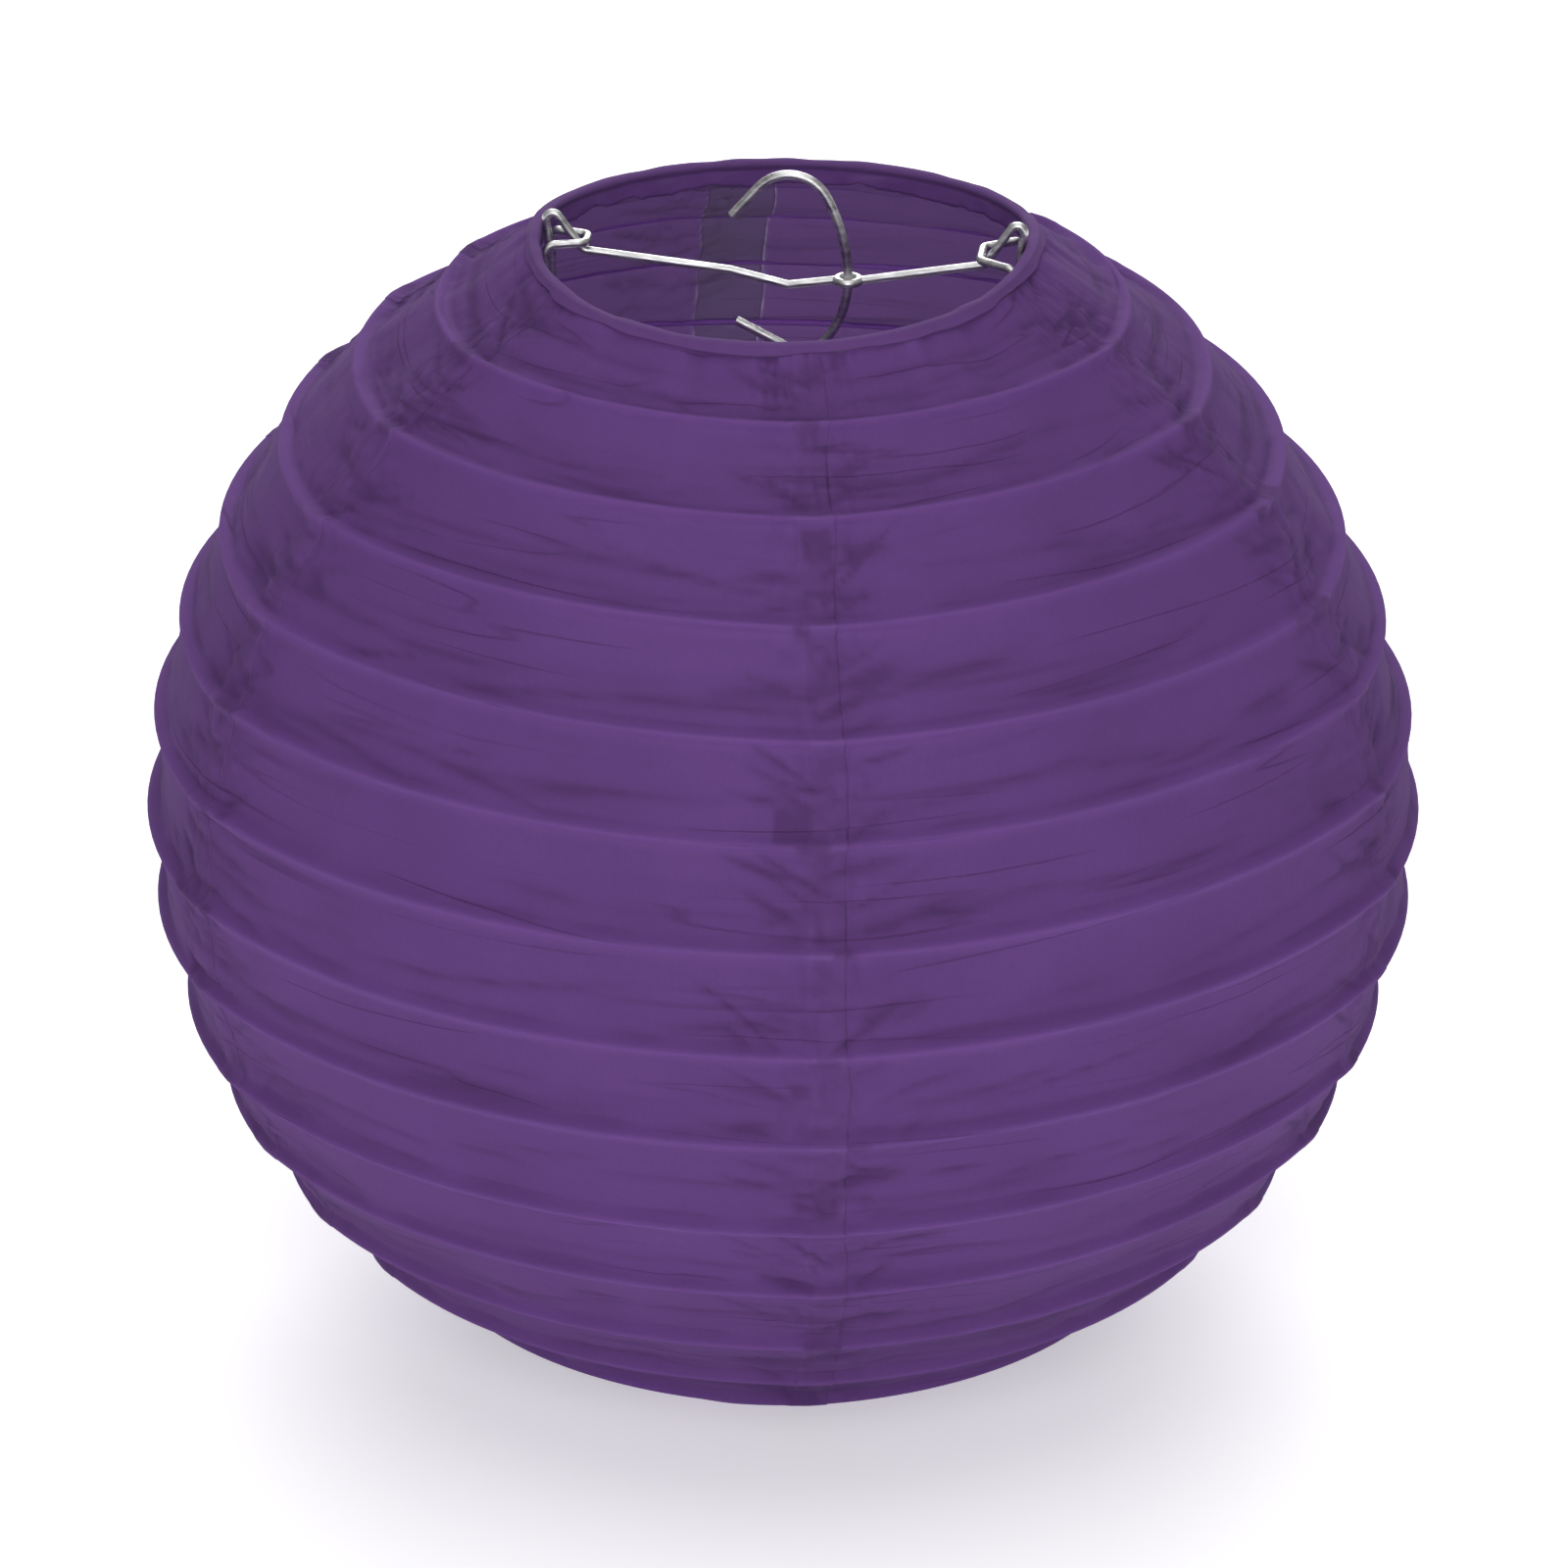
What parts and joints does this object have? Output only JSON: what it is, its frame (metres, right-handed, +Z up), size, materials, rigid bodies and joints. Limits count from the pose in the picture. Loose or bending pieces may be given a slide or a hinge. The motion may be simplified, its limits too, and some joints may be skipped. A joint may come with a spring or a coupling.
{
  "type": "accordion paper lantern",
  "caption": "Folding round paper lantern with a ribbed, glued-gore paper shade, a wire expander and a hanging hook.",
  "frame": {"origin": "centre of the bottom mouth, on the surface the lantern stands on", "axes": "+Z up through the two mouths, the expander's crossbar along X, the hook's opening towards -X"},
  "size_m": [0.3041, 0.3039, 0.2915],
  "materials": {
    "paper": "matt crinkled tissue",
    "rim_paper": "matt, rolled and glued",
    "rib_stick": "split bamboo wrapped in the shade's paper",
    "ring_wire": "drawn steel wire",
    "expander_wire": "bright galvanised wire",
    "hanger_wire": "bright galvanised wire"
  },
  "bodies": {
    "base": {"bottom_ring": "ring_wire", "bottom_hem": "rim_paper", "gore_1": "paper", "gore_2": "paper", "gore_3": "paper", "gore_4": "paper", "gore_5": "paper", "gore_6": "paper"},
    "top_rim": {"top_ring": "ring_wire", "top_hem": "rim_paper"},
    "hoop_01": {"rib_01": "rib_stick"},
    "hoop_02": {"rib_02": "rib_stick"},
    "hoop_03": {"rib_03": "rib_stick"},
    "hoop_04": {"rib_04": "rib_stick"},
    "hoop_05": {"rib_05": "rib_stick"},
    "hoop_06": {"rib_06": "rib_stick"},
    "hoop_07": {"rib_07": "rib_stick"},
    "hoop_08": {"rib_08": "rib_stick"},
    "hoop_09": {"rib_09": "rib_stick"},
    "hoop_10": {"rib_10": "rib_stick"},
    "hoop_11": {"rib_11": "rib_stick"},
    "hoop_12": {"rib_12": "rib_stick"},
    "hoop_13": {"rib_13": "rib_stick"},
    "expander": {"crossbar": "expander_wire", "expander_loop": "expander_wire"},
    "hanger": {"hanger": "hanger_wire"}
  },
  "joints": [
    {"name": "shade_fold", "type": "slide", "parent": "base", "child": "top_rim", "axis": [0, 0, 1], "range_m": [-0.2534, 0], "deforming": ["gore_1", "gore_2", "gore_3", "gore_4", "gore_5", "gore_6"]},
    {"name": "rib_01_fold", "type": "slide", "parent": "base", "child": "hoop_01", "axis": [0, 0, 1], "range_m": [-0.2418, 0]},
    {"name": "rib_02_fold", "type": "slide", "parent": "base", "child": "hoop_02", "axis": [0, 0, 1], "range_m": [-0.2281, 0]},
    {"name": "rib_03_fold", "type": "slide", "parent": "base", "child": "hoop_03", "axis": [0, 0, 1], "range_m": [-0.2106, 0]},
    {"name": "rib_04_fold", "type": "slide", "parent": "base", "child": "hoop_04", "axis": [0, 0, 1], "range_m": [-0.1906, 0]},
    {"name": "rib_05_fold", "type": "slide", "parent": "base", "child": "hoop_05", "axis": [0, 0, 1], "range_m": [-0.1709, 0]},
    {"name": "rib_06_fold", "type": "slide", "parent": "base", "child": "hoop_06", "axis": [0, 0, 1], "range_m": [-0.149, 0]},
    {"name": "rib_07_fold", "type": "slide", "parent": "base", "child": "hoop_07", "axis": [0, 0, 1], "range_m": [-0.1264, 0]},
    {"name": "rib_08_fold", "type": "slide", "parent": "base", "child": "hoop_08", "axis": [0, 0, 1], "range_m": [-0.105, 0]},
    {"name": "rib_09_fold", "type": "slide", "parent": "base", "child": "hoop_09", "axis": [0, 0, 1], "range_m": [-0.0819, 0]},
    {"name": "rib_10_fold", "type": "slide", "parent": "base", "child": "hoop_10", "axis": [0, 0, 1], "range_m": [-0.0632, 0]},
    {"name": "rib_11_fold", "type": "slide", "parent": "base", "child": "hoop_11", "axis": [0, 0, 1], "range_m": [-0.0441, 0]},
    {"name": "rib_12_fold", "type": "slide", "parent": "base", "child": "hoop_12", "axis": [0, 0, 1], "range_m": [-0.028, 0]},
    {"name": "rib_13_fold", "type": "slide", "parent": "base", "child": "hoop_13", "axis": [0, 0, 1], "range_m": [-0.0123, 0]},
    {"name": "expander_lift", "type": "slide", "parent": "base", "child": "expander", "axis": [0, 0, 1], "range_m": [0, 0.32]},
    {"name": "hanger_swivel", "type": "hinge", "parent": "expander", "child": "hanger", "pos_m": [0.015, 0, 0.26502], "axis": [0, 0, 1], "continuous": true}
  ],
  "couplings": [
    {"joint": "rib_01_fold", "follows": "shade_fold", "ratio": 0.9521},
    {"joint": "rib_02_fold", "follows": "shade_fold", "ratio": 0.89799},
    {"joint": "rib_03_fold", "follows": "shade_fold", "ratio": 0.82918},
    {"joint": "rib_04_fold", "follows": "shade_fold", "ratio": 0.75027},
    {"joint": "rib_05_fold", "follows": "shade_fold", "ratio": 0.6726},
    {"joint": "rib_06_fold", "follows": "shade_fold", "ratio": 0.58595},
    {"joint": "rib_07_fold", "follows": "shade_fold", "ratio": 0.49686},
    {"joint": "rib_08_fold", "follows": "shade_fold", "ratio": 0.41242},
    {"joint": "rib_09_fold", "follows": "shade_fold", "ratio": 0.32113},
    {"joint": "rib_10_fold", "follows": "shade_fold", "ratio": 0.24762},
    {"joint": "rib_11_fold", "follows": "shade_fold", "ratio": 0.17202},
    {"joint": "rib_12_fold", "follows": "shade_fold", "ratio": 0.10858},
    {"joint": "rib_13_fold", "follows": "shade_fold", "ratio": 0.04675}
  ]
}
